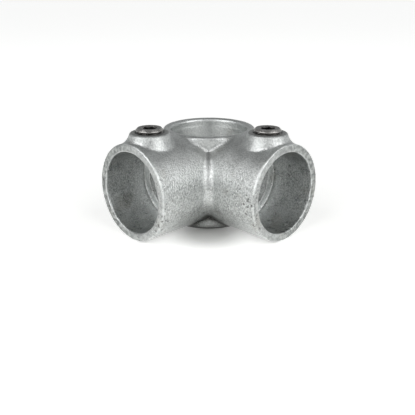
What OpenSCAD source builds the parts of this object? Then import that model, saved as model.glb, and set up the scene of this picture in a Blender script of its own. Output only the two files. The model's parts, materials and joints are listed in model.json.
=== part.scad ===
// Three-way corner clamp for round tube: one cast body with an upright sleeve
// and two rail sockets at a right angle, each tube locked by a hex socket set screw.
// Frame: +Z is the upright's axis, the rails leave along +X and -Y, and the origin
// is the point where the three tube axes cross.

/* [Tube] */
// Outside diameter of the tubes that the fitting joins
tube_d = 48.3; // [42.4:0.1:60.3]
// Slack of a tube in its socket, on the diameter
tube_slack = 1.2; // [0.8:0.1:1.6]

/* [Upright sleeve] */
// Wall of the sleeve
sleeve_wall = 5.25; // [5.1:0.05:6]
// How far each rim of the sleeve stands above the rail sockets
rim_stand = 0.2; // [0.1:0.05:1.2]
// Rounding of the rims, inside and outside
rim_round = 2; // [1.6:0.1:2.2]
// Depth of the lead-in at each end of the sleeve
lead_in_depth = 5.5; // [4:0.5:7]
// How much wider the lead-in is than the sleeve, on the radius
lead_in_step = 0.2; // [0.1:0.05:0.25]

/* [Rail sockets] */
// Wall of a rail socket
socket_wall = 5.05; // [4:0.05:5.15]
// How deep a rail goes into its socket
socket_depth = 30.5; // [30:0.5:45]
// From the outside of the sleeve to the stop at the bottom of a socket
stop_offset = 5; // [4:0.25:9]
// How far the stop stands in from the socket's wall
stop_lip = 5.25; // [3:0.25:7]
// Rounding of the outer edge of a mouth
mouth_round = 0.5; // [0.3:0.1:1.2]
// Chamfer inside a mouth and on the stop's edge
mouth_chamfer = 0.4; // [0.3:0.1:1]

/* [Blends] */
// Radius of the blend in the crotch between the two sockets, at mid-height
crotch_blend = 5.5; // [4.5:0.25:8]
// Radius of the same blend at its upper and lower end, where it runs into the sleeve
crotch_end_blend = 2.5; // [2:0.25:4]
// Radius of the blend between the sleeve and a socket
saddle_blend = 3; // [2:0.25:5]
// Radius of the blend at the foot of a screw boss, along the tube
boss_blend = 1.8; // [1.2:0.1:2]
// Radius of the same blend across the tube, on the side of the crotch
boss_flank_blend = 3; // [2:0.25:4]
// Radius of the same blend across the tube, on the outer side
boss_outer_blend = 10; // [5:0.25:11]

/* [Screw bosses] */
// From a socket's mouth to the middle of its boss
boss_inset = 15.8; // [15.6:0.1:17]
// Diameter of a boss at its top, before the edge is rounded
boss_d = 24; // [22:0.1:24.2]
// How far a boss stands above the wall that carries it
boss_rise = 5.1; // [4:0.1:7]
// Draft of a boss's side, in degrees
boss_draft = 18; // [10:0.5:18]
// Rounding of a boss's upper edge
boss_round = 1.2; // [0.8:0.1:1.6]

/* [Set screws] */
// Thread's outside diameter
screw_d = 16.66; // [14:0.02:17]
// Overall length of a set screw
screw_length = 11.8; // [9:0.1:12]
// How far a set screw stands out of its boss
screw_proud = 2.5; // [1.5:0.1:2.6]
// Radial clearance between a set screw and its hole
screw_clearance = 0.08; // [0.05:0.01:0.1]
// Hexagon socket, across the flats
hex_flats = 8; // [6:0.5:9]
// Depth of the hexagon socket
hex_depth = 6; // [4:0.5:7]
// Chamfer on the socket end
screw_chamfer = 0.6; // [0.4:0.1:1]
// Chamfer on the point end
point_chamfer = 1.4; // [1:0.1:2]
// Diameter of the cup in the point
cup_d = 8.4; // [6:0.2:10]

/* [Hidden] */

$fn = 96;
casting_colour = "LightSlateGray";
screw_colour = "DimGray";

bore_r = (tube_d + tube_slack) / 2;
sleeve_r = bore_r + sleeve_wall;
socket_r = bore_r + socket_wall;
rim_z = socket_r + rim_stand;
shoulder_z = rim_z - rim_round;
// The saddle blends end this high, where the rim has hardly begun to turn over
saddle_top_z = shoulder_z + 0.4 * rim_round;
stop_x = sleeve_r + stop_offset;
mouth_x = stop_x + socket_depth;
neck_r = bore_r - stop_lip;
boss_x = mouth_x - boss_inset;
boss_r = boss_d / 2;
hole_r = screw_d / 2 + screw_clearance;
hex_r = hex_flats / 2 / cos(30);
cup_depth = cup_d / 4;
// Direction of the upright's own boss, away from the two rails
upright_boss_turn = 135;

// How far cutters and blanks run on into the air or into one another
overlap = 2;
// How far the edges, the core and the two ends of a blend go under the walls
sink = 0.3;
core_depth = 2;
dive = 0.7;
// The saddle blend starts with this radius, beside the rim
least_blend = 0.6;
// Angles about a socket's axis, from the top, where the saddle blends end: at the back
// where socket and sleeve run into one another, at the front inside the other socket
saddle_back_end = 76;
saddle_front_end = 60;
// Points on a rounded edge, and sections and arc points of each blend
round_steps = 4;
crotch_stations = 25;
crotch_steps = 6;
saddle_stations = 14;
saddle_steps = 4;
boss_stations = 40;
boss_steps = 3;

function arc(centre, r, from, to) =
    [for (i = [0:round_steps]) let (a = from + (to - from) * i / round_steps)
        centre + r * [cos(a), sin(a)]];
function unit(v) = v / norm(v);
function between(u, v, f) = let (w = acos(u * v))
    (sin((1 - f) * w) * u + sin(f * w) * v) / sin(w);

// Section of the blend that a ball leaves between two walls. c is the ball's middle,
// u and v point from it to the walls, and down sinks the whole section. The first
// point is inside the corner, and the ends of the arc dip under each wall.
function blend_section(c, r, u, v, steps, down = 0) =
    let (mid = unit(u + v), away_u = -unit(v - (u * v) * u), away_v = -unit(u - (u * v) * v),
         half = acos(u * v) / 2, base = c + down * mid)
    concat([base + (r / cos(half) + core_depth) * mid,
            base + (r + sink) * u + sink * away_u],
        [for (i = [1:steps]) base + r * between(u, v, i / (steps + 1))],
        [base + (r + sink) * v + sink * away_v]);

// Joins sections of equal length into a solid, as a closed ring or with two ends
module loft(sections, ring = false) {
    n = len(sections);
    m = len(sections[0]);
    sides = [for (i = [0:(ring ? n - 1 : n - 2)], j = [0:m - 1])
        let (a = i * m, b = ((i + 1) % n) * m, k = (j + 1) % m)
        each [[a + j, b + j, b + k], [a + j, b + k, a + k]]];
    ends = ring ? [] : [[for (j = [0:m - 1]) j],
        [for (j = [0:m - 1]) (n - 1) * m + (m - j) % m]];
    polyhedron([for (s = sections) each s], concat(sides, ends), convexity = 8);
}

// Revolve of an outline of [radius, height] points about the X axis
module turned_x(outline) rotate([0, 90, 0]) rotate_extrude() polygon(outline);

module both_sockets() {
    children();
    mirror([1, 1, 0]) children();
}

// Upright sleeve before it is bored
module sleeve_blank() {
    top = arc([sleeve_r - rim_round, shoulder_z], rim_round, 0, 90);
    bottom = arc([sleeve_r - rim_round, -shoulder_z], rim_round, -90, 0);
    rotate_extrude() polygon(concat([[0, -rim_z]], bottom, top, [[0, rim_z]]));
}

// Air inside the sleeve, flared by the rounded rims and stepped by the lead-ins
module sleeve_bore() {
    lead_r = bore_r + lead_in_step;
    lead_z = rim_z - lead_in_depth;
    crest_r = lead_r + rim_round;
    top = arc([crest_r, shoulder_z], rim_round, 180, 90);
    bottom = arc([crest_r, -shoulder_z], rim_round, -90, -180);
    rotate_extrude() polygon(concat(
        [[0, -rim_z - overlap], [crest_r, -rim_z - overlap]], bottom,
        [[lead_r, -lead_z], [bore_r, -lead_z + lead_in_step],
         [bore_r, lead_z - lead_in_step], [lead_r, lead_z]],
        top, [[crest_r, rim_z + overlap], [0, rim_z + overlap]]));
}

// Rail socket before it is bored, from inside the sleeve to its mouth
module socket_blank() {
    edge = arc([socket_r - mouth_round, mouth_x - mouth_round], mouth_round, 0, 90);
    turned_x(concat([[0, -overlap], [socket_r, -overlap]], edge, [[0, mouth_x]]));
}

// Air inside a rail socket: the neck into the sleeve, the stop and the tube's bore
module socket_bore() {
    neck_start = sqrt(bore_r * bore_r - neck_r * neck_r) - overlap;
    turned_x([[0, neck_start], [neck_r, neck_start], [neck_r, stop_x - mouth_chamfer],
        [neck_r + mouth_chamfer, stop_x], [bore_r, stop_x], [bore_r, mouth_x - mouth_chamfer],
        [bore_r + mouth_chamfer, mouth_x], [bore_r + mouth_chamfer, mouth_x + overlap],
        [0, mouth_x + overlap]]);
}

// Blend where the two sockets meet, from the top of the crotch to its bottom. It gets
// tighter towards both ends, which are inside the sleeve's wall.
module crotch() {
    spread = acos(sleeve_r / (sqrt(2) * (socket_r + crotch_end_blend)));
    loft([for (i = [0:crotch_stations - 1])
        let (f = 2 * i / (crotch_stations - 1) - 1, t = spread * f,
             r = crotch_blend - (crotch_blend - crotch_end_blend) * pow(abs(f), 3),
             ball = socket_r + r, m = ball * cos(t), z = ball * sin(t))
        blend_section([m, -m, z], r, [-m, 0, -z] / ball, [0, m, -z] / ball, crotch_steps)]);
}

// Blend between the sleeve and the upper back quarter of the X socket. Its radius
// grows from almost nothing beside the rim, where there is no wall left to run onto.
module saddle(last) {
    first = acos(saddle_top_z / (socket_r + least_blend));
    loft([for (i = [0:saddle_stations - 1])
        let (a = first + (last - first) * i / (saddle_stations - 1),
             r = min(saddle_blend, saddle_top_z / cos(a) - socket_r),
             y = (socket_r + r) * sin(a), z = (socket_r + r) * cos(a),
             x = sqrt(pow(sleeve_r + r, 2) - y * y),
             end = i == 0 || i == saddle_stations - 1)
        blend_section([x, y, z], r, -[x, y, 0] / (sleeve_r + r), -[0, y, z] / (socket_r + r),
            saddle_steps, end ? dive : 0)]);
}

module saddles() {
    for (side = [0, 1]) mirror([0, 0, side]) {
        saddle(saddle_back_end);
        mirror([0, 1, 0]) saddle(saddle_front_end);
    }
}

// Height of a ball of radius r that lies on a wall of radius wall_r, rc from the boss's
// axis in direction a, and how far out the boss's side puts it at that height
function blend_level(rc, a, r, wall_r) = sqrt(pow(wall_r + r, 2) - pow(rc * sin(a), 2));
function blend_reach(rc, a, r, wall_r) =
    boss_r + (wall_r + boss_rise - blend_level(rc, a, r, wall_r)) * tan(boss_draft)
        + r / cos(boss_draft);

// Drafted boss along +Z on a cylinder of radius wall_r that lies along X. Its foot has
// the outer blend on the side of +Y
module boss(wall_r, outer_blend = boss_flank_blend) {
    top_z = wall_r + boss_rise;
    slope = tan(boss_draft);
    foot_r = boss_r + boss_rise * slope;
    base_z = sqrt(wall_r * wall_r - foot_r * foot_r) - overlap;
    edge_x = boss_r + boss_round * (1 - sin(boss_draft)) * slope - boss_round * cos(boss_draft);
    edge = arc([edge_x, top_z - boss_round], boss_round, boss_draft, 90);
    rotate_extrude() polygon(concat([[0, base_z], [boss_r + (top_z - base_z) * slope, base_z]],
        edge, [[0, top_z]]));
    loft([for (i = [0:boss_stations - 1])
        let (a = 360 * i / boss_stations, out = [cos(a), sin(a), 0],
             flank = sin(a) > 0 ? outer_blend : boss_flank_blend,
             r = boss_blend + (flank - boss_blend) * (1 - pow(cos(a), 4)),
             rc = blend_reach(blend_reach(foot_r + r, a, r, wall_r), a, r, wall_r),
             z = blend_level(rc, a, r, wall_r))
        blend_section(rc * out + [0, 0, z], r, -cos(boss_draft) * out - [0, 0, sin(boss_draft)],
            -[0, rc * sin(a), z] / (wall_r + r), boss_steps)], ring = true);
}

// Screw hole along +Z through a boss, with a countersunk edge
module screw_hole(wall_r) {
    top_z = wall_r + boss_rise;
    start_z = sqrt(bore_r * bore_r - hole_r * hole_r) - overlap;
    rotate_extrude() polygon([[0, start_z], [hole_r, start_z], [hole_r, top_z - screw_chamfer],
        [hole_r + screw_chamfer, top_z], [hole_r + screw_chamfer, top_z + overlap],
        [0, top_z + overlap]]);
}

// Puts what stands on a wall along X on the upright's own boss
module on_upright() rotate([0, 0, upright_boss_turn]) rotate([0, 90, 0]) children();

module on_rail() translate([boss_x, 0, 0]) children();

// Set screw with its point end down, seated in the boss of a wall of radius wall_r
module set_screw(wall_r) {
    r = screw_d / 2;
    top_z = wall_r + boss_rise + screw_proud;
    tip_z = top_z - screw_length;
    difference() {
        rotate_extrude() polygon([[0, tip_z + cup_depth], [cup_d / 2, tip_z],
            [r - point_chamfer, tip_z], [r, tip_z + point_chamfer], [r, top_z - screw_chamfer],
            [r - screw_chamfer, top_z], [0, top_z]]);
        translate([0, 0, top_z - hex_depth]) cylinder(r = hex_r, h = hex_depth + overlap, $fn = 6);
    }
}

module clamp_body() {
    color(casting_colour) difference() {
        union() {
            sleeve_blank();
            crotch();
            both_sockets() {
                socket_blank();
                saddles();
                on_rail() boss(socket_r, boss_outer_blend);
            }
            on_upright() boss(sleeve_r);
        }
        sleeve_bore();
        both_sockets() {
            socket_bore();
            on_rail() screw_hole(socket_r);
        }
        on_upright() screw_hole(sleeve_r);
    }
}

module right_rail_screw() {
    color(screw_colour) on_rail() set_screw(socket_r);
}

module left_rail_screw() {
    color(screw_colour) mirror([1, 1, 0]) on_rail() set_screw(socket_r);
}

module upright_screw() {
    color(screw_colour) on_upright() set_screw(sleeve_r);
}

clamp_body();
right_rail_screw();
left_rail_screw();
upright_screw();
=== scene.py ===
import json
import math
from functools import partial, reduce

import bpy
import numpy as np
from mathutils import Matrix, Vector, noise


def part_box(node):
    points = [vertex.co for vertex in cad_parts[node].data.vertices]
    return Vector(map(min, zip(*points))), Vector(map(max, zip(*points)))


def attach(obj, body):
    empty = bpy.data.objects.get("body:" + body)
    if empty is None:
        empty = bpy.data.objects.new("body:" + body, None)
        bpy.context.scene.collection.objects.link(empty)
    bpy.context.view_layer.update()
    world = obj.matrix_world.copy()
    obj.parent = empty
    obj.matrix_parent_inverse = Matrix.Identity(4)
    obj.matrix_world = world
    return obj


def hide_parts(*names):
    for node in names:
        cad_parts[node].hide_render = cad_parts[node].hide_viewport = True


bl_info = {
    "name": "Tube Corner Clamp",
    "version": (1, 0, 0),
    "blender": (4, 5, 0),
    "location": "3D View > Sidebar > Corner Clamp",
    "description": "Builds a galvanised three-way tube clamp with its set screws and a small photo studio",
    "category": "Object",
}

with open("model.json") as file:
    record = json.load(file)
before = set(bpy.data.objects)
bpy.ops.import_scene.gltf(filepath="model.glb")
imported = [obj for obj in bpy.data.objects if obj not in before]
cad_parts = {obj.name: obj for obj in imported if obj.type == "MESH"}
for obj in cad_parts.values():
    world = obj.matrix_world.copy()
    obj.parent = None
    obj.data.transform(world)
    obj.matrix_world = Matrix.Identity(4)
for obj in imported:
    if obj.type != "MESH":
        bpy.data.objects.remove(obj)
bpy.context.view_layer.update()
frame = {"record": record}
MM = 0.001

MOUNTS = {mount["name"]: mount for mount in frame["record"]["mounts"]}
BODY_LOW, BODY_HIGH = (np.array(corner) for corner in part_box("clamp_body"))
SCREW_LOW, SCREW_HIGH = (np.array(corner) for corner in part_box("right_rail_screw"))

# Where the frame puts the casting's main faces and the right rail's screw
TUBE_BORE_R = MOUNTS["upright_sleeve"]["dims"]["r_mm"] * MM
MOUTH_X = float(BODY_HIGH[0])
RIM_Z = -float(BODY_LOW[2])
BOSS_TOP_Z = float(BODY_HIGH[2])
BOSS_X = float(SCREW_LOW[0] + SCREW_HIGH[0]) / 2
SCREW_D = float(SCREW_HIGH[0] - SCREW_LOW[0])
SCREW_LENGTH = float(SCREW_HIGH[2] - SCREW_LOW[2])
SCREW_TIP_Z = float(SCREW_LOW[2])

# Direction of the upright's screw from +X, seen from above
UPRIGHT_TURN = math.radians(135)
# Face attribute that says how worn a set screw is, with painted shade in the thread and painted light on the
# chamfer and the countersink
WEAR_AND_LIGHT = "wear"
# Width in pixels of the picture that the camera is fitted to
PICTURE_PX = 415
# Keeps a distance off zero where it divides
TINY = 1e-9

# Kinds of node that are used often, each with its settings
PLUS = ("ShaderNodeMath", {"operation": "ADD"})
MINUS = ("ShaderNodeMath", {"operation": "SUBTRACT"})
TIMES = ("ShaderNodeMath", {"operation": "MULTIPLY"})
OVER = ("ShaderNodeMath", {"operation": "DIVIDE"})
TIMES_PLUS = ("ShaderNodeMath", {"operation": "MULTIPLY_ADD"})
LARGER = ("ShaderNodeMath", {"operation": "MAXIMUM"})
SMALLER = ("ShaderNodeMath", {"operation": "MINIMUM"})
LESS = ("ShaderNodeMath", {"operation": "LESS_THAN"})
MORE = ("ShaderNodeMath", {"operation": "GREATER_THAN"})
UNSIGNED = ("ShaderNodeMath", {"operation": "ABSOLUTE"})
FRACTION = ("ShaderNodeMath", {"operation": "FRACT"})
SOFT_SMALLER = ("ShaderNodeMath", {"operation": "SMOOTH_MIN"})
DOT = ("ShaderNodeVectorMath", {"operation": "DOT_PRODUCT"})
SIZE = ("ShaderNodeVectorMath", {"operation": "LENGTH"})
DISTANCE = ("ShaderNodeVectorMath", {"operation": "DISTANCE"})
STRETCH = ("ShaderNodeVectorMath", {"operation": "MULTIPLY"})
SHIFT = ("ShaderNodeVectorMath", {"operation": "MULTIPLY_ADD"})
JOIN = ("ShaderNodeCombineXYZ", {})
SPLIT = ("ShaderNodeSeparateXYZ", {})
RAMP = ("ShaderNodeMapRange", {"interpolation_type": "SMOOTHSTEP"})
STRAIGHT_RAMP = ("ShaderNodeMapRange", {"interpolation_type": "LINEAR"})
NOISE = ("ShaderNodeTexNoise", {})
BLEND = ("ShaderNodeMix", {"data_type": "RGBA"})
STORE = ("GeometryNodeStoreNamedAttribute", {"data_type": "FLOAT", "domain": "FACE"})


def linear(code):
    """Turns an sRGB hex value into linear red, green, blue and alpha."""
    parts = [int(code[i:i + 2], 16) / 255 for i in (1, 3, 5)]
    return tuple(c / 12.92 if c <= 0.04045 else ((c + 0.055) / 1.055) ** 2.4 for c in parts) + (1.0,)


def length(name, description, millimetres):
    """A length property whose default is given in millimetres."""
    return bpy.props.FloatProperty(
        name=name, description=description, default=millimetres * MM, unit="LENGTH", precision=5)


def angle(name, description, degrees):
    """An angle property whose default is given in degrees."""
    return bpy.props.FloatProperty(
        name=name, description=description, default=math.radians(degrees), subtype="ANGLE")


def share(name, description, default):
    """A property for a share between 0 and 1."""
    return bpy.props.FloatProperty(
        name=name, description=description, default=default, min=0.0, max=1.0, subtype="FACTOR")


def power(name, description, watts):
    """A lamp's power in watts."""
    return bpy.props.FloatProperty(name=name, description=description, default=watts, min=0.0, unit="POWER")


def colour(name, description, code):
    """A colour property with full alpha, whose default is an sRGB hex value."""
    return bpy.props.FloatVectorProperty(
        name=name, description=description, default=linear(code), subtype="COLOR", size=4, min=0.0, max=1.0)


class CastingSettings(bpy.types.PropertyGroup):
    """Sizes and colours of the cast body."""

    sleeve_wall: length("Sleeve wall", "Wall of the upright sleeve", 5.25)
    socket_wall: length("Socket wall", "Wall of the rail sockets", 5.05)
    socket_depth: length("Socket depth", "From a mouth to the stop inside it", 30.5)
    stop_lip: length("Stop lip", "How far the stop stands in from the socket's wall", 5.25)
    lead_in_depth: length("Lead-in depth", "Depth of the wider stretch at each end of the sleeve", 5.5)
    lead_in_step: length("Lead-in step", "How much wider the lead-in is, on the radius", 0.2)
    boss_d: length("Boss diameter", "Diameter of a boss at its top", 24.0)
    boss_draft: angle("Boss draft", "Draft of a boss's side", 18.0)
    hole_slack: length("Hole slack", "Gap between a screw and its hole, on the radius", 0.08)

    rim_round: length("Rim rounding", "Rounding of the sleeve's rims", 2.0)
    mouth_round: length("Mouth rounding", "Rounding of a mouth's edges", 0.9)
    stop_round: length("Stop rounding", "Rounding of the stop inside a socket", 0.35)
    window_round: length("Window rounding", "Rounding of the edges between the sleeve and the necks", 1.4)
    boss_round: length("Boss rounding", "Rounding of a boss's upper edge", 1.4)
    hole_round: length("Hole rounding", "Rounding of a screw hole's edge", 0.6)

    crotch_blend: length("Crotch blend", "Radius of the blend between the two sockets, at mid-height", 5.5)
    crotch_end_blend: length("Crotch ends", "Radius of the same blend at its upper and lower end", 2.5)
    saddle_blend: length("Saddle blend", "Radius of the blend between sleeve and sockets", 3.0)
    saddle_margin: length("Saddle margin", "How far below a rim the same blend ends", 0.4)
    boss_blend: length("Boss blend", "Radius of the blend at a boss's foot, along the tube", 1.8)
    flank_blend: length("Flank blend", "Radius of the same blend across the tube, by the crotch", 3.0)
    outer_blend: length("Outer blend", "Radius of the same blend across the tube, outside", 10.0)

    cell: length("Mesh cell", "Size of the cells that the skin is meshed on", 0.78)
    lump_size: length("Lump size", "Width of the casting's slow unevenness", 11.0)
    lump_height: length("Lumps", "Depth of the casting's slow unevenness", 0.17)
    skin_size: length("Skin size", "Width of the dents that the sand mould leaves", 2.6)
    skin_height: length("Skin", "Depth of the dents that the sand mould leaves", 0.06)

    grain_size: length("Grain size", "Width of the sand's grain in the zinc", 0.82)
    grain_height: length("Grain", "Depth of the sand's grain in the zinc", 0.15)
    mottle_size: length("Mottle size", "Width of the spots on the end faces", 2.6)
    spangle_size: length("Spangle size", "Width of the zinc's spangle", 7.0)
    patch_size: length("Patch size", "Width of the patches where the coat is thin", 16.0)
    fleck_spacing: length("Fleck spacing", "From one dark fleck to the next in such a patch", 3.2)
    zinc_light: colour("Zinc, light", "Zinc on the high spots", "#e1e3e2")
    zinc_dark: colour("Zinc, dark", "Zinc in the low spots", "#9b9e9d")
    face_light: colour("End face, light", "Light spots of an end face", "#b5b8b6")
    face_dark: colour("End face, dark", "Dark spots of an end face", "#6d706f")
    # Colour of the painted highlights on the mouths' edges and of the painted light inside the bores
    painted_highlight: colour("Fresh zinc", "Bright zinc on edges and where the coat is fresh", "#f2f5f4")
    dull: colour("Dull zinc", "Streaks inside the sockets", "#6b6f6e")
    stain: colour("Stain", "Faint stain where the coat is thin", "#8d8778")
    # Colour of the dark flecks, and of the painted shade in corners and recesses
    fleck_and_shade: colour("Fleck", "Dark flecks, and dirt in the corners", "#504f4b")


class ScrewSettings(bpy.types.PropertyGroup):
    """Sizes and colours of the set screws."""

    pitch: length("Pitch", "Distance from one thread to the next", 1.337)
    thread_depth: length("Thread depth", "Depth of the thread", 0.75)
    land: length("Land", "Plain stretch between the thread and the top chamfer", 0.5)
    hex_flats: length("Hexagon", "Hexagon socket across the flats", 8.0)
    hex_depth: length("Hexagon depth", "Depth of the hexagon socket", 6.0)
    flare_depth: length("Flare depth", "Depth of the countersink at the hexagon's mouth", 0.9)
    flare_width: length("Flare width", "How far the countersink reaches past the hexagon's corners", 0.2)
    top_chamfer: length("Top chamfer", "Chamfer round the socket end", 1.1)
    point_chamfer: length("Point chamfer", "Chamfer round the point end", 1.4)
    cup_d: length("Cup", "Diameter of the cup in the point", 8.4)
    # Bright steel on the chamfer: partly wear, partly a painted highlight
    chamfer_wear_and_highlight: share("Chamfer wear", "How bright the chamfer is worn", 0.62)
    # Share of bright steel on the crests; the thread's grooves stay dark as painted shade
    crest_wear_and_groove_shade: share("Crest wear", "How bright the thread's crests are worn", 0.3)
    # Painted light on the countersink at the hexagon's mouth
    flare_painted_light: share("Flare wear", "How bright the countersink is worn", 0.3)
    top_wear: share("Top wear", "How bright the top is worn", 0.07)
    smudge_size: length("Smudge size", "Width of the smudges in the oil", 3.0)
    # Also the colour of the painted highlight on the chamfer and of the painted light in the countersink
    steel: colour("Steel", "Steel where the set screws are worn bright", "#cccac7")
    oxide: colour("Oxide", "Dark oiled skin of the set screws", "#3b3a39")


class StudioSettings(bpy.types.PropertyGroup):
    """Camera and light of the studio."""

    camera_turn: angle("Camera turn", "Direction of the camera from +X", -44.53)
    camera_rise: angle("Camera rise", "Height of the camera as an angle", 17.05)
    camera_distance: length("Camera distance", "From the camera to the crossing of the tubes", 410.0)
    focal_px: bpy.props.FloatProperty(
        name="Focal length", description="Focal length in pixels of the picture", default=615.0)
    centre_px: bpy.props.FloatVectorProperty(
        name="Centre", description="Pixel of the picture where the tubes cross", default=(209.0, 170.5),
        size=2)
    lamp_rise: angle("Lamp rise", "Height of the lamps as an angle", 34.0)
    lamp_distance: length("Lamp distance", "From a lamp to the object", 900.0)
    lamp_size: length("Lamp size", "Width and height of a lamp", 850.0)
    left_turn: angle("Left lamp turn", "Direction of the left lamp from +X", -97.0)
    left_power: power("Left lamp", "Power of the left lamp", 4.75)
    right_turn: angle("Right lamp turn", "Direction of the right lamp from +X", 8.0)
    right_power: power("Right lamp", "Power of the right lamp", 4.3)
    sky_turn: angle("Room turn", "Bright side of the room, from the camera's direction", 100.0)
    sky_bright: share("Room, bright side", "Light from the bright side of the room", 0.61)
    sky_dim: share("Room, dim side", "Light from the dim side of the room", 0.43)
    sky_overhead: share("Room, overhead", "Share of that light that is left overhead", 0.5)
    sky_colour: colour("Room", "Colour of the room's light", "#fbfdfd")
    floor_half: length("Floor", "Half the width of the floor", 8000.0)
    floor_colour: colour("Floor colour", "Pale floor", "#f4f4f2")


def add(tree, kind, *values, **inputs):
    """Adds a node of a kind, which is a name or a name with settings, and returns it.

    Values go to the inputs that it shows, in order, and named ones to the input of that name. A socket is
    linked, and so is the first output of a node. Each item of a list is linked to the same input."""
    name, settings = (kind, {}) if isinstance(kind, str) else kind
    node = tree.nodes.new(name)
    for setting, value in settings.items():
        setattr(node, setting, value)
    pairs = list(zip((socket for socket in node.inputs if socket.enabled), values))
    pairs += [(node.inputs[name.replace("_", " ")], value) for name, value in inputs.items()]
    for socket, value in pairs:
        for item in value if isinstance(value, list) else [value]:
            if isinstance(item, bpy.types.Node):
                item = next(output for output in item.outputs if output.enabled)
            if isinstance(item, bpy.types.NodeSocket):
                tree.links.new(item, socket)
            else:
                socket.default_value = item
    return node


def zone(tree, *ramps):
    """How much of a spot lies in a zone: the product of smooth ramps.

    A ramp is a measure, the place that it counts from, the two distances past that place in millimetres that
    it runs between, and its values at the two, which are 0 and 1 unless given."""
    steps = [add(tree, RAMP, measure, start + low * MM, start + high * MM, *ends)
             for measure, start, low, high, *ends in ramps]
    return reduce(partial(add, tree, TIMES), steps)


def ball_union(a, b, cosine, radius):
    """Joins two distance fields with the blend that a ball of that radius leaves between their walls.

    cosine is that of the angle between the walls' normals, so the blend dies out where they are tangent."""
    room = np.maximum(1 - cosine * cosine, 1e-4)
    over_a = radius - a
    over_b = radius - b
    touching = (over_a > cosine * over_b) & (over_b > cosine * over_a) & (radius > 0)
    reach = np.sqrt(np.maximum(over_a ** 2 + over_b ** 2 - 2 * cosine * over_a * over_b, 0) / room)
    return np.where(touching, radius - reach, np.minimum(a, b))


def rounded_corner(a, b, radius):
    """The solid inside both fields, with its outer corner rounded."""
    over_a = a + radius
    over_b = b + radius
    inside = np.minimum(np.maximum(over_a, over_b), 0)
    return inside + np.hypot(np.maximum(over_a, 0), np.maximum(over_b, 0)) - radius


def soft_step(low, high, value):
    """Rises smoothly from 0 at low to 1 at high."""
    t = np.clip((value - low) / (high - low), 0, 1)
    return t * t * (3 - 2 * t)


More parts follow.
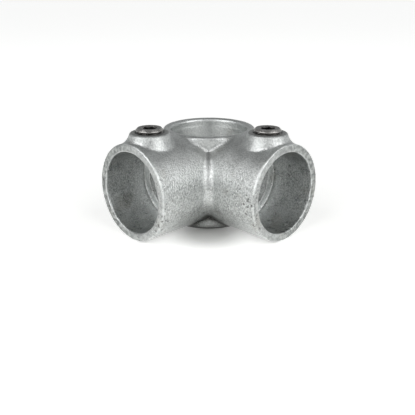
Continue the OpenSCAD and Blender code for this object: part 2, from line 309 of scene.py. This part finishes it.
class CastingField:
    """Signed distance to the casting's skin, in metres: negative inside the iron."""

    def __init__(self, s):
        self.s = s
        # The skin's unevenness is cut into the walls, which start thicker by half of it
        allowance = (s.lump_height + s.skin_height) / 2
        self.sleeve_r = TUBE_BORE_R + s.sleeve_wall + allowance
        self.socket_r = TUBE_BORE_R + s.socket_wall + allowance
        self.neck_r = TUBE_BORE_R - s.stop_lip
        self.stop_x = MOUTH_X - s.socket_depth
        self.boss_rise = BOSS_TOP_Z - self.socket_r
        self.hole_r = SCREW_D / 2 + s.hole_slack

    def saddle(self, across, up):
        """Radius of the blend between sleeve and socket, which shrinks so that it ends below the rim."""
        s = self.s
        # The ball touches the socket a little farther from the top than the spot that it blends
        farther = 1.07
        widest = math.radians(80)
        turn = np.minimum(farther * np.arctan2(np.abs(across), np.abs(up)), widest)
        return np.clip((RIM_Z - s.saddle_margin) / np.cos(turn) - self.socket_r, 0, s.saddle_blend)

    def crotch(self, x, y, z):
        """Radius of the blend between the two sockets, which gets tighter towards its ends."""
        s = self.s
        spread = math.acos(self.sleeve_r / (math.sqrt(2) * (self.socket_r + s.crotch_end_blend)))
        towards_end = np.arctan2(np.abs(z), np.maximum((x - y) / 2, TINY)) / spread
        return s.crotch_blend - (s.crotch_blend - s.crotch_end_blend) * np.minimum(towards_end, 1) ** 3

    def boss(self, wall, across, along, up, wall_r, outer_blend):
        """Joins a drafted boss to a wall. up runs along the boss, along lies along the wall's axis, and the
        foot has the outer blend where across is positive."""
        s = self.s
        top = wall_r + self.boss_rise
        out = np.maximum(np.hypot(across, along), TINY)
        around = np.maximum(np.hypot(across, up), TINY)
        side = (out - s.boss_d / 2 - (top - up) * math.tan(s.boss_draft)) * math.cos(s.boss_draft)
        boss = np.maximum(rounded_corner(side, up - top, s.boss_round), self.neck_r - up)
        cosine = (math.cos(s.boss_draft) * across * across / out + math.sin(s.boss_draft) * up) / around
        flank = np.where(across > 0, outer_blend, s.flank_blend)
        blend = s.boss_blend + (flank - s.boss_blend) * (1 - (along / out) ** 4)
        return np.where(up > self.neck_r, ball_union(wall, boss, cosine, blend), wall)

    def hole(self, skin, across, along, up):
        """Drills the screw hole of a boss, with a broken edge."""
        hole = np.maximum(np.hypot(across, along) - self.hole_r, self.neck_r - up)
        return rounded_corner(skin, -hole, self.s.hole_round)

    def __call__(self, x, y, z):
        s = self.s
        back = (y - x) * math.sqrt(0.5)
        sideways = (x + y) * math.sqrt(0.5)
        around_z = np.maximum(np.hypot(x, y), TINY)
        around_x = np.maximum(np.hypot(y, z), TINY)
        around_y = np.maximum(np.hypot(x, z), TINY)

        sleeve = rounded_corner(around_z - self.sleeve_r, np.abs(z) - RIM_Z, s.rim_round)
        right = np.maximum(rounded_corner(around_x - self.socket_r, x - MOUTH_X, s.mouth_round), -x)
        left = np.maximum(rounded_corner(around_y - self.socket_r, -y - MOUTH_X, s.mouth_round), y)

        skin = np.minimum(
            ball_union(sleeve, right, y * y / (around_z * around_x), self.saddle(y, z)),
            ball_union(sleeve, left, x * x / (around_z * around_y), self.saddle(x, z)))
        skin = np.minimum(skin, ball_union(right, left, z * z / (around_x * around_y), self.crotch(x, y, z)))

        skin = self.boss(skin, y, x - BOSS_X, z, self.socket_r, s.outer_blend)
        skin = self.boss(skin, -x, y + BOSS_X, z, self.socket_r, s.outer_blend)
        skin = self.boss(skin, sideways, z, back, self.sleeve_r, s.flank_blend)

        lead = s.lead_in_step * soft_step(0, s.lead_in_step, np.abs(z) - RIM_Z + s.lead_in_depth)
        skin = rounded_corner(skin, TUBE_BORE_R + lead - around_z, s.rim_round)
        for around, out in ((around_x, x), (around_y, -y)):
            bore = rounded_corner(around - TUBE_BORE_R, self.stop_x - out, s.stop_round)
            neck = np.maximum(around - self.neck_r, self.neck_r / 2 - out)
            at_stop = soft_step(self.sleeve_r, self.stop_x - s.stop_round, out)
            inner_edge = s.window_round + (s.stop_round - s.window_round) * at_stop
            skin = rounded_corner(skin, -bore, s.mouth_round)
            skin = rounded_corner(skin, -neck, inner_edge)

        skin = self.hole(skin, y, x - BOSS_X, z)
        skin = self.hole(skin, x, y + BOSS_X, z)
        return self.hole(skin, sideways, z, back)

    def slope(self, points):
        """Gradient of the field at some points, by central differences."""
        step = 0.05 * MM
        parts = []
        for axis in range(3):
            shift = np.zeros(3)
            shift[axis] = step
            parts.append((self(*(points + shift).T) - self(*(points - shift).T)) / (2 * step))
        return np.stack(parts, 1)


def surface_net(field, low, high, cell):
    """Meshes the zero surface of a field on a grid of cells.

    Each cell that the surface crosses gets a point, and each grid edge that it crosses gets a quad."""
    axes = [np.arange(low[i] - 2 * cell, high[i] + 3 * cell, cell) for i in range(3)]
    grid = np.empty([len(a) for a in axes], np.float32)
    for i, x in enumerate(axes[0]):
        y, z = np.meshgrid(axes[1], axes[2], indexing="ij")
        grid[i] = field(np.full_like(y, x), y, z)
    inside = grid < 0

    corners = [(i, j, k) for i in (0, 1) for j in (0, 1) for k in (0, 1)]
    nx, ny, nz = (n - 1 for n in grid.shape)
    count = sum(inside[i:i + nx, j:j + ny, k:k + nz].astype(np.int8) for i, j, k in corners)
    cells = np.argwhere((count > 0) & (count < len(corners)))
    number = np.full((nx, ny, nz), -1, np.int64)
    number[tuple(cells.T)] = np.arange(len(cells))

    # A cell's point is the middle of the crossings on its twelve edges
    total = np.zeros((len(cells), 3))
    crossings = np.zeros((len(cells), 1))
    for a in corners:
        for axis in range(3):
            if a[axis]:
                continue
            b = tuple(v + (k == axis) for k, v in enumerate(a))
            value_a = grid[tuple((cells + a).T)].astype(float)
            value_b = grid[tuple((cells + b).T)].astype(float)
            crossed = ((value_a < 0) != (value_b < 0))[:, None]
            way = (value_a / np.where(value_a == value_b, 1, value_a - value_b))[:, None]
            place = np.array(a, float) + way * (np.array(b) - np.array(a))
            total += np.where(crossed, place, 0)
            crossings += crossed
    start = np.array([a[0] for a in axes])
    points = start + (cells + total / crossings) * cell

    quads = []
    for axis in range(3):
        lower = [slice(None)] * 3
        upper = [slice(None)] * 3
        lower[axis] = slice(0, -1)
        upper[axis] = slice(1, None)
        edges = np.argwhere(inside[tuple(lower)] != inside[tuple(upper)])
        step_one = np.eye(3, dtype=int)[(axis + 1) % 3]
        step_two = np.eye(3, dtype=int)[(axis + 2) % 3]
        ring = [edges - step_one - step_two, edges - step_two, edges, edges - step_one]
        quad = np.stack([number[tuple(r.T)] for r in ring], 1)
        outward = inside[tuple(edges.T)]
        quads.append(np.where(outward[:, None], quad, quad[:, ::-1]))
    return points, np.concatenate(quads)


def casting_mesh(s):
    """Skin of the casting, with the unevenness and the dents of a sand mould."""
    field = CastingField(s)
    points, quads = surface_net(field, BODY_LOW, BODY_HIGH, s.cell)

    # Newton steps bring the points onto the surface
    flattest = 0.25
    for _ in range(3):
        slope = field.slope(points)
        size = np.maximum((slope ** 2).sum(1), flattest)
        points -= (field(*points.T) / size)[:, None] * slope
    slope = field.slope(points)
    normals = slope / np.maximum(np.linalg.norm(slope, axis=1), 1e-6)[:, None]

    depth = np.empty(len(points))
    dimension, lacunarity, octaves = 0.7, 2.1, 2
    for i, p in enumerate(points):
        lump = 0.5 + 0.5 * noise.noise(Vector(p / s.lump_size))
        dent = 0.5 + 0.5 * noise.fractal(Vector(p / s.skin_size), dimension, lacunarity, octaves)
        depth[i] = s.lump_height * lump + s.skin_height * min(max(dent, 0), 1)
    points -= depth[:, None] * normals
    points = np.clip(points, BODY_LOW, BODY_HIGH)

    mesh = bpy.data.meshes.new("clamp_casting")
    mesh.from_pydata(points, [], quads)
    mesh.polygons.foreach_set("use_smooth", np.ones(len(quads), bool))
    mesh.update()
    return mesh


def bare_material(name):
    """A new material and its node tree, without nodes."""
    material = bpy.data.materials.new(name)
    material.use_nodes = True
    material.node_tree.nodes.clear()
    return material, material.node_tree


def galvanised_iron(s):
    """Hot-dip zinc over sand-cast iron.

    To the eye it is a pale, dull metal with a soft spangle and the fine grain of the mould. The end faces
    are mottled, with painted highlights along their edges and painted light on their crotch side, and dark
    flecks and a faint stain lie where the coat is thin. Painted shade darkens the corners and recesses, and
    painted light brightens the bores by the stops and the upper sleeve."""
    material, tree = bare_material("Galvanised cast iron")
    node = partial(add, tree)
    mask = partial(zone, tree)
    place = node("ShaderNodeTexCoord").outputs["Object"]
    x, y, z = node(SPLIT, place).outputs

    # Where a spot lies: along, across and out from the nearer socket's axis, out from the upright's axis,
    # and how high up the nearer boss
    left = node(TIMES, y, -1.0)
    along = node(LARGER, x, left)
    across = node(SMALLER, x, left)
    out = node(SIZE, node(JOIN, across, z))
    around = node(SIZE, node(JOIN, x, y))
    boss_height = node(LARGER, z, node(TIMES, node(MINUS, y, x), math.sqrt(0.5)))
    sleeve_r = TUBE_BORE_R + s.sleeve_wall
    socket_r = TUBE_BORE_R + s.socket_wall
    stop_x = MOUTH_X - s.socket_depth

    # The patterns. The grain of moulding sand is about 0.3 mm wide, too fine for the picture, so it is drawn
    # coarser, and a little longer upwards
    crumble = 0.55
    upright = node(STRETCH, place, (1.0, 1.0, 0.75))
    grain = node(RAMP, node(NOISE, upright, 1 / s.grain_size, 1.5, crumble), 0.32, 0.68)
    mottle = node(RAMP, node(NOISE, place, 1 / s.mottle_size, 2.5, crumble), 0.34, 0.66)
    spangle = node(NOISE, place, 1 / s.spangle_size, 3.0, crumble)
    patch = node(NOISE, place, 1 / s.patch_size, 1.0, crumble)

    near_mouth = mask((along, MOUTH_X, -16, -3))
    end_face = mask((along, MOUTH_X, -0.9, -0.3))
    on_boss = mask((boss_height, RIM_Z, 0.8, 2.2))
    in_socket = mask((out, TUBE_BORE_R, 0.3, 1.0, 1.0, 0.0), (along, stop_x, -1, 0))

    # Painted shade lies in the corners at a stop, inside the sleeve, round both ends of the crotch and on
    # the tops of the bosses
    from_axis = node(JOIN, along, out)
    stop_corners = [mask((node(DISTANCE, from_axis, (stop_x, radius, 0.0)), 0, 0.3, 1.3, 0.3, 0.0))
                    for radius in (TUBE_BORE_R, TUBE_BORE_R - s.stop_lip)]
    sleeve_inside = mask((around, TUBE_BORE_R, 0.3, 1.0, 0.45, 0.0), (z, 0, 4, 14, 1.0, 0.0))
    crotch_foot = mask((around, sleeve_r, 0.1, 0.8), (around, sleeve_r, 3, 9, 0.78, 0.0))
    low_sleeve = node(LARGER, mask((across, 0, 11, 20, 0.8, 0.1)), mask((z, 0, -26, -22.5, 0.0, 0.9)))
    sleeve_foot = node(TIMES, low_sleeve, mask((around, sleeve_r, 0.4, 1.0, 1.0, 0.0)))
    lower_edge = mask((z, -RIM_Z, 0.8, 2.0, 0.95, 0.0))
    feet = reduce(partial(node, LARGER), [crotch_foot, sleeve_foot, lower_edge])
    under_crotch = node(TIMES, feet, mask((across, 0, 3, 8), (z, 0, -19.5, -15, 1.0, 0.0)))
    crotch_head = mask((around, sleeve_r, 0.1, 0.8), (around, sleeve_r, 4, 8, 0.4, 0.0),
                       (across, 0, 15, 19), (z, 0, 15.5, 18))
    boss_top = mask((boss_height, BOSS_TOP_Z, -0.7, -0.2, 0.0, 0.5))
    painted_shade = reduce(partial(node, LARGER), [*stop_corners, sleeve_inside, under_crotch, crotch_head, boss_top])

    # Flecks lie in the thin patches, mostly near the mouths and low down
    wobble_size = 1.4 * MM
    wobble_reach = 1.6 * MM
    wobble = node(NOISE, place, 1 / wobble_size, 1.0, crumble).outputs["Color"]
    wandering = node(SHIFT, wobble, (wobble_reach,) * 3, place)
    spots = node("ShaderNodeTexVoronoi", wandering, 1 / s.fleck_spacing)
    gathered = node(RAMP, node(TIMES_PLUS, near_mouth, 0.17, patch), 0.6, 0.74)
    flecks = reduce(partial(node, TIMES), [
        gathered, node(RAMP, spots, 0.12, 0.34, 0.75, 0.0), mask((z, 0, 6, 20, 1.0, 0.3)),
        node(TIMES_PLUS, in_socket, -0.65, 1.0)])

    # The grain is calmer on the top, the underside and in the crotch than on the sides
    lively = mask((z, 0, 8, 22, 1.05, 0.55), (z, 0, -24, -10, 0.6, 1.0),
                  (node(MINUS, along, across), 0, 3, 9, 0.7, 1.0))
    tone = node(TIMES_PLUS, node(MINUS, grain, 0.5), node(TIMES, lively, 0.75),
                node(RAMP, spangle, 0.25, 0.75, 0.4, 0.62))
    zinc = node(BLEND, tone, s.zinc_dark, s.zinc_light)

    # What lies over the plain zinc, in order, each with its share and its colour; some of it is painted
    # light or painted shade
    # The mottle is real, but its share falls from the outer side to the crotch side, so each end face is
    # painted lighter on its crotch side and darker on its outer side
    end_mottle_and_side_light = node(TIMES, end_face, mask((across, 0, -18, 20, 0.9, 0.4)))
    end_zinc = node(BLEND, mottle, s.face_dark, s.face_light)
    # Painted highlight: bright lines along each mouth's outer and inner edges
    outer_edge = mask((out, socket_r, -1.0, -0.4))
    inner_edge = mask((out, TUBE_BORE_R, 0.4, 1.0, 1.0, 0.0))
    mouth_edges = node(TIMES, mask((along, MOUTH_X, -1.4, -0.7)), node(LARGER, outer_edge, inner_edge))
    painted_edge_highlight = node(TIMES, mouth_edges, node(RAMP, spangle, 0.4, 0.6, 0.25, 0.65))
    streaks = node(TIMES, in_socket, node(RAMP, spangle, 0.34, 0.52, 0.16, 0.0))
    # Painted light on each socket's bore next to its stop
    painted_light_by_stop = node(TIMES, in_socket, mask((along, stop_x, 0, 11, 0.3, 0.0)))
    # Painted light on the upper part of the sleeve's bore
    painted_light_by_rim = mask((around, TUBE_BORE_R, 0.3, 1.0, 0.2, 0.0), (z, 0, 8, 16))
    stain = node(RAMP, node(TIMES_PLUS, near_mouth, 0.06, patch), 0.62, 0.76, 0.0, 0.2)
    # Real dark flecks and the painted shade share one colour
    flecks_and_painted_shade = node(LARGER, flecks, painted_shade)
    for cover, coat in (
            (end_mottle_and_side_light, end_zinc), (painted_edge_highlight, s.painted_highlight), (streaks, s.dull), (painted_light_by_stop, s.painted_highlight),
            (painted_light_by_rim, s.painted_highlight), (stain, s.stain), (flecks_and_painted_shade, s.fleck_and_shade)):
        zinc = node(BLEND, cover, zinc, coat)

    dullness = node(TIMES_PLUS, on_boss, 0.1, node(RAMP, spangle, 0.3, 0.7, 0.26, 0.34))
    rough = node(PLUS, dullness, mask((z, 0, 8, 22, 0.0, 0.06)))
    relief = node(TIMES_PLUS, node(TIMES, end_face, mottle), 1.2, node(MINUS, grain, flecks))
    bump = node("ShaderNodeBump", Strength=1.0, Distance=s.grain_height, Height=node(TIMES, relief, lively))
    shader = node("ShaderNodeBsdfPrincipled", Base_Color=zinc, Metallic=0.9, Roughness=rough, Normal=bump)
    node("ShaderNodeOutputMaterial", shader)
    return material


def turned_steel(s):
    """Turned steel with a black oxide skin, oiled.

    To the eye it is dark and smooth, near black in the thread where shade is painted in, with the chamfer
    worn bright and a painted highlight on it."""
    material, tree = bare_material("Dark turned steel")
    node = partial(add, tree)
    place = node("ShaderNodeTexCoord").outputs["Object"]
    wear = node(("ShaderNodeAttribute", {"attribute_name": WEAR_AND_LIGHT})).outputs["Fac"]
    smudge = node(NOISE, place, 1 / s.smudge_size, 3.0)
    tone = node(BLEND, node(TIMES_PLUS, smudge, 0.2, wear), s.oxide, s.steel)
    rough = node(STRAIGHT_RAMP, smudge, 0.3, 0.7, 0.2, 0.38)
    shader = node("ShaderNodeBsdfPrincipled", Base_Color=tone, Metallic=1.0, Roughness=rough)
    node("ShaderNodeOutputMaterial", shader)
    return material


def floor_paint(s):
    """Matt white paint: plain and pale, white behind the object, and it keeps the object's shadow.

    A soft glow takes it up to white where it is seen straight, or in metal or glass. There is none in the
    shadow, and none on the stretch in front of the object that lies outside the picture."""
    material, tree = bare_material("Matt white floor")
    node = partial(add, tree)
    mask = partial(zone, tree)
    path = node("ShaderNodeLightPath").outputs
    seen = reduce(partial(node, LARGER),
                  [path[ray] for ray in ("Is Camera Ray", "Is Glossy Ray", "Is Transmission Ray")])
    spot = node("ShaderNodeTexCoord").outputs["Object"]
    under_crotch = (27 * MM, -27 * MM, -RIM_Z)
    forward = node(DOT, spot, (math.cos(s.camera_turn), math.sin(s.camera_turn), 0.0))
    clear = mask((node(DISTANCE, spot, under_crotch), 0, 6, 29, 0.0, 0.42))
    behind = mask((forward, 0, -700, -60, 0.25, 0.0))
    in_view = node(LARGER, mask((forward, 0, 195, 235, 1.0, 0.0)), mask((forward, 0, 600, 1200)))
    glow = node(TIMES, node(TIMES, node(PLUS, clear, behind), in_view), seen)
    shader = node("ShaderNodeBsdfPrincipled", Base_Color=s.floor_colour, Roughness=0.9,
                  Emission_Color=linear("#ffffff"), Emission_Strength=glow)
    node("ShaderNodeOutputMaterial", shader)
    return material


def studio_room(s):
    """World of the studio: a room that is brighter on one side, and dim overhead."""
    world = bpy.data.worlds.new("Studio")
    world.use_nodes = True
    tree = world.node_tree
    tree.nodes.clear()
    node = partial(add, tree)
    way = node("ShaderNodeTexCoord").outputs["Generated"]
    bright_turn = s.camera_turn + s.sky_turn
    sideways = node(DOT, way, (math.cos(bright_turn), math.sin(bright_turn), 0.0))
    height = node(DOT, way, (0.0, 0.0, 1.0))
    strength = node(TIMES, node(RAMP, height, 0.15, 0.75, 1.0, s.sky_overhead),
                    node(RAMP, sideways, -0.4, 0.8, s.sky_dim, s.sky_bright))
    node("ShaderNodeOutputWorld", node("ShaderNodeBackground", s.sky_colour, strength))
    return world


def set_screw_tree(s, sizes, material):
    """Geometry Nodes for a set screw: threaded shank, chamfered ends, hexagon socket and cup point.

    The point stands at the origin and the screw runs up from it. Each of the sizes has an input."""
    tree = bpy.data.node_groups.new("Set Screw", "GeometryNodeTree")
    tree.interface.new_socket("Geometry", in_out="OUTPUT", socket_type="NodeSocketGeometry")
    for name in sizes:
        tree.interface.new_socket(name, in_out="INPUT", socket_type="NodeSocketFloat")
    node = partial(add, tree)
    given = node("NodeGroupInput").outputs
    radius = node(TIMES, given["Diameter"], 0.5)

    # The shank is a grid, rolled up. Its first and its last row close the ends, at their neighbours' height
    sides, rings = 96, 74
    row = 1 / (rings - 1)
    grid = node("GeometryNodeMeshGrid", 1.0, 1.0, sides + 1, rings)
    grid_x, grid_y, _ = node(SPLIT, node("GeometryNodeInputPosition")).outputs
    turn = node(PLUS, grid_x, 0.5)
    height = node(STRAIGHT_RAMP, grid_y, row - 0.5, 0.5 - row, 0.0, given["Length"])
    above = node(MINUS, given["Length"], height)
    ends = node(MORE, node(UNSIGNED, grid_y), 0.5 - row / 2)

    # A groove winds round it, with a flat bottom, and stops short of the top chamfer
    flank_slope, root_softness = 1.25, 0.2
    phase = node(FRACTION, node(MINUS, node(OVER, height, given["Pitch"]), turn))
    flank = node(UNSIGNED, node(TIMES_PLUS, phase, 2.0, -1.0))
    groove = node(SOFT_SMALLER, node(TIMES, flank, flank_slope), 1.0, root_softness)
    threaded = node(MINUS, radius, node(TIMES, groove, given["Thread Depth"]))
    on_land = node(LESS, above, node(PLUS, given["Top Chamfer"], s.land))
    shank_r = node(LARGER, threaded, node(TIMES, on_land, radius))
    for chamfer, distance in ((given["Top Chamfer"], above), (given["Point Chamfer"], height)):
        edge = node(STRAIGHT_RAMP, distance, 0.0, chamfer, node(MINUS, radius, chamfer), radius)
        shank_r = node(SMALLER, shank_r, edge)
    out = node(TIMES, shank_r, node(MINUS, 1.0, ends))
    spot = node(("ShaderNodeVectorRotate", {"rotation_type": "Z_AXIS"}), node(JOIN, out, 0.0, height),
                Angle=node(TIMES, turn, math.tau))
    shank = node("GeometryNodeSetPosition", grid, Position=spot)
    shank = node("GeometryNodeMergeByDistance", shank, Distance=0.001 * MM)

    # How worn each face is, with painted light and shade: bright on the chamfer and the crests, dull on the
    # top, dark with painted shade in the thread
    here_x, here_y, here_z = node(SPLIT, node("GeometryNodeInputPosition")).outputs
    below_top = node(MINUS, given["Length"], here_z)
    reach = node(SIZE, node(JOIN, here_x, here_y))
    # Painted shade: dark in the thread's grooves, lighter towards the crests
    crest = node(STRAIGHT_RAMP, reach, node(MINUS, radius, given["Thread Depth"]), radius, 0.0, s.crest_wear_and_groove_shade)
    on_chamfer = node(LESS, below_top, given["Top Chamfer"])
    side_wear_and_light = node(LARGER, node(TIMES, on_chamfer, s.chamfer_wear_and_highlight), crest)
    on_top = node(LESS, below_top, 0.01 * MM)
    shank = node(STORE, shank, Name=WEAR_AND_LIGHT, Value=node("ShaderNodeMix", on_top, side_wear_and_light, s.top_wear))

    # Cutters for the hexagon socket, its countersink and the cup, which stand past the screw's ends
    cutter_sides = 48
    past = 0.3 * MM
    corner = node(OVER, given["Hexagon Flats"], 2 * math.cos(math.pi / 6))
    key = node("GeometryNodeMeshCylinder", Vertices=6, Radius=corner,
               Depth=node(TIMES, given["Hexagon Depth"], 2.0))
    key = node("GeometryNodeTransform", key, node(JOIN, 0.0, 0.0, given["Length"]))
    flare = node("GeometryNodeMeshCone", Vertices=cutter_sides, Depth=s.flare_depth + past,
                 Radius_Bottom=node(PLUS, corner, s.flare_width - s.flare_depth),
                 Radius_Top=node(PLUS, corner, s.flare_width + past))
    flare_foot = node(MINUS, given["Length"], s.flare_depth)
    flare = node("GeometryNodeTransform", flare, node(JOIN, 0.0, 0.0, flare_foot))
    # The countersink gets painted light
    flare = node(STORE, flare, Name=WEAR_AND_LIGHT, Value=s.flare_painted_light)
    cup_slope, cup_past = 0.5, 0.1
    cup_depth = node(TIMES, given["Cup Diameter"], cup_slope / 2)
    cup = node("GeometryNodeMeshCone", Vertices=cutter_sides, Radius_Top=0.1 * MM,
               Radius_Bottom=node(TIMES, given["Cup Diameter"], (1 + cup_past) / 2),
               Depth=node(TIMES, cup_depth, 1 + cup_past))
    cup = node("GeometryNodeTransform", cup, node(JOIN, 0.0, 0.0, node(TIMES, cup_depth, -cup_past)))
    cut = node(("GeometryNodeMeshBoolean", {"operation": "DIFFERENCE", "solver": "EXACT"}),
               shank, [key, flare, cup])

    crease = math.radians(35)
    smooth = node(("GeometryNodeSetShadeSmooth", {"domain": "FACE"}), cut)
    sharp = node(("FunctionNodeCompare", {"data_type": "FLOAT", "operation": "GREATER_THAN"}),
                 node("GeometryNodeInputMeshEdgeAngle"), crease)
    crisp = node(("GeometryNodeSetShadeSmooth", {"domain": "EDGE"}), smooth, sharp, False)
    real = node("GeometryNodeRealizeInstances", crisp)
    node("NodeGroupOutput", node("GeometryNodeSetMaterial", real, Material=material))
    return tree


def plain_mesh(tree, name, values):
    """Evaluates a node tree with the given inputs and returns its result as a mesh of its own."""
    carrier = bpy.data.objects.new(name + "_nodes", bpy.data.meshes.new(name + "_nodes"))
    bpy.context.scene.collection.objects.link(carrier)
    modifier = carrier.modifiers.new("Nodes", "NODES")
    modifier.node_group = tree
    for item in tree.interface.items_tree:
        if item.in_out == "INPUT":
            modifier[item.identifier] = values[item.name]
    depsgraph = bpy.context.evaluated_depsgraph_get()
    mesh = bpy.data.meshes.new_from_object(carrier.evaluated_get(depsgraph))
    carrier.modifiers.remove(modifier)
    bpy.data.objects.remove(carrier)
    mesh.name = name
    return mesh


def put(name, data, material=None):
    """Links a mesh, lamp or camera to the scene as an object at the origin."""
    thing = bpy.data.objects.new(name, data)
    if material:
        data.materials.append(material)
    bpy.context.scene.collection.objects.link(thing)
    return thing


def aim(thing, target, turn, rise, distance):
    """Places a lamp or camera at a distance from a target, looking at it."""
    away = Vector((math.cos(turn) * math.cos(rise), math.sin(turn) * math.cos(rise), math.sin(rise)))
    thing.location = target + away * distance
    thing.rotation_euler = away.to_track_quat("Z", "Y").to_euler()


class CLAMP_OT_cast_body(bpy.types.Operator):
    """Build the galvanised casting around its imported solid"""

    bl_idname = "clamp.cast_body"
    bl_label = "Cast Body"

    def execute(self, context):
        s = context.scene.clamp_casting
        piece = put("casting_skin", casting_mesh(s), galvanised_iron(s))
        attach(piece, "casting")
        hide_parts("clamp_body")
        return {"FINISHED"}


class CLAMP_OT_set_screws(bpy.types.Operator):
    """Build the three set screws, each on its own body"""

    bl_idname = "clamp.set_screws"
    bl_label = "Set Screws"

    def execute(self, context):
        s = context.scene.clamp_screws
        sizes = {
            "Diameter": SCREW_D, "Length": SCREW_LENGTH, "Pitch": s.pitch, "Thread Depth": s.thread_depth,
            "Top Chamfer": s.top_chamfer, "Point Chamfer": s.point_chamfer, "Hexagon Flats": s.hex_flats,
            "Hexagon Depth": s.hex_depth, "Cup Diameter": s.cup_d}
        tree = set_screw_tree(s, sizes, turned_steel(s))
        upright_low, upright_high = (np.array(corner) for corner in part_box("upright_screw"))
        middle = Matrix.Translation((upright_low + upright_high) / 2)
        lean = Matrix.Rotation(UPRIGHT_TURN, 4, "Z") @ Matrix.Rotation(math.radians(90), 4, "Y")
        seats = {
            "right_rail_screw": ("right_screw", Matrix.Translation((BOSS_X, 0, SCREW_TIP_Z))),
            "left_rail_screw": ("left_screw", Matrix.Translation((0, -BOSS_X, SCREW_TIP_Z))),
            "upright_screw": ("rear_screw", middle @ lean @ Matrix.Translation((0, 0, -SCREW_LENGTH / 2)))}
        for node, (body, seat) in seats.items():
            mesh = plain_mesh(tree, node + "_steel", sizes)
            mesh.transform(seat)
            piece = put(node + "_steel", mesh)
            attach(piece, body)
            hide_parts(node)
        return {"FINISHED"}


class CLAMP_OT_studio(bpy.types.Operator):
    """Build the floor, the lights and the camera"""

    bl_idname = "clamp.studio"
    bl_label = "Studio"

    def execute(self, context):
        scene = context.scene
        s = scene.clamp_studio
        scene.view_settings.view_transform = "Standard"
        scene.world = studio_room(s)

        mesh = bpy.data.meshes.new("floor")
        half = s.floor_half
        corners = [(x, y, -RIM_Z) for x, y in ((-half, -half), (half, -half), (half, half), (-half, half))]
        mesh.from_pydata(corners, [], [(0, 1, 2, 3)])
        put("floor", mesh, floor_paint(s))

        between_sockets = Vector((20 * MM, -20 * MM, 0))
        for name, turn, watts in (
                ("softbox_left", s.left_turn, s.left_power), ("softbox_right", s.right_turn, s.right_power)):
            lamp = bpy.data.lights.new(name, "AREA")
            lamp.size = s.lamp_size
            lamp.energy = watts
            aim(put(name, lamp), between_sockets, turn, s.lamp_rise, s.lamp_distance)

        camera = bpy.data.cameras.new("photo")
        camera.lens = s.focal_px / PICTURE_PX * camera.sensor_width
        camera.shift_x = 0.5 - s.centre_px[0] / PICTURE_PX
        camera.shift_y = s.centre_px[1] / PICTURE_PX - 0.5
        camera.clip_start = 10 * MM
        scene.camera = put("photo", camera)
        aim(scene.camera, Vector(), s.camera_turn, s.camera_rise, s.camera_distance)
        return {"FINISHED"}


class CLAMP_PT_panel(bpy.types.Panel):
    """Sidebar panel with the settings and the build steps"""

    bl_label = "Corner Clamp"
    bl_idname = "CLAMP_PT_panel"
    bl_space_type = "VIEW_3D"
    bl_region_type = "UI"
    bl_category = "Corner Clamp"

    def draw(self, context):
        for group, operator in (("clamp_casting", "clamp.cast_body"), ("clamp_screws", "clamp.set_screws"),
                                ("clamp_studio", "clamp.studio")):
            box = self.layout.box()
            settings = getattr(context.scene, group)
            for name in settings.__annotations__:
                box.prop(settings, name)
            box.operator(operator)


CLASSES = (CastingSettings, ScrewSettings, StudioSettings, CLAMP_OT_cast_body, CLAMP_OT_set_screws,
           CLAMP_OT_studio, CLAMP_PT_panel)


def register():
    """Registers the classes and hangs their settings on the scene."""
    for cls in CLASSES:
        bpy.utils.register_class(cls)
    bpy.types.Scene.clamp_casting = bpy.props.PointerProperty(type=CastingSettings)
    bpy.types.Scene.clamp_screws = bpy.props.PointerProperty(type=ScrewSettings)
    bpy.types.Scene.clamp_studio = bpy.props.PointerProperty(type=StudioSettings)


def unregister():
    """Takes the settings off the scene and unregisters the classes."""
    del bpy.types.Scene.clamp_studio
    del bpy.types.Scene.clamp_screws
    del bpy.types.Scene.clamp_casting
    for cls in reversed(CLASSES):
        bpy.utils.unregister_class(cls)


def main():
    """Builds the clamp and the studio."""
    register()
    bpy.ops.clamp.cast_body()
    bpy.ops.clamp.set_screws()
    bpy.ops.clamp.studio()


if __name__ == "__main__":
    main()
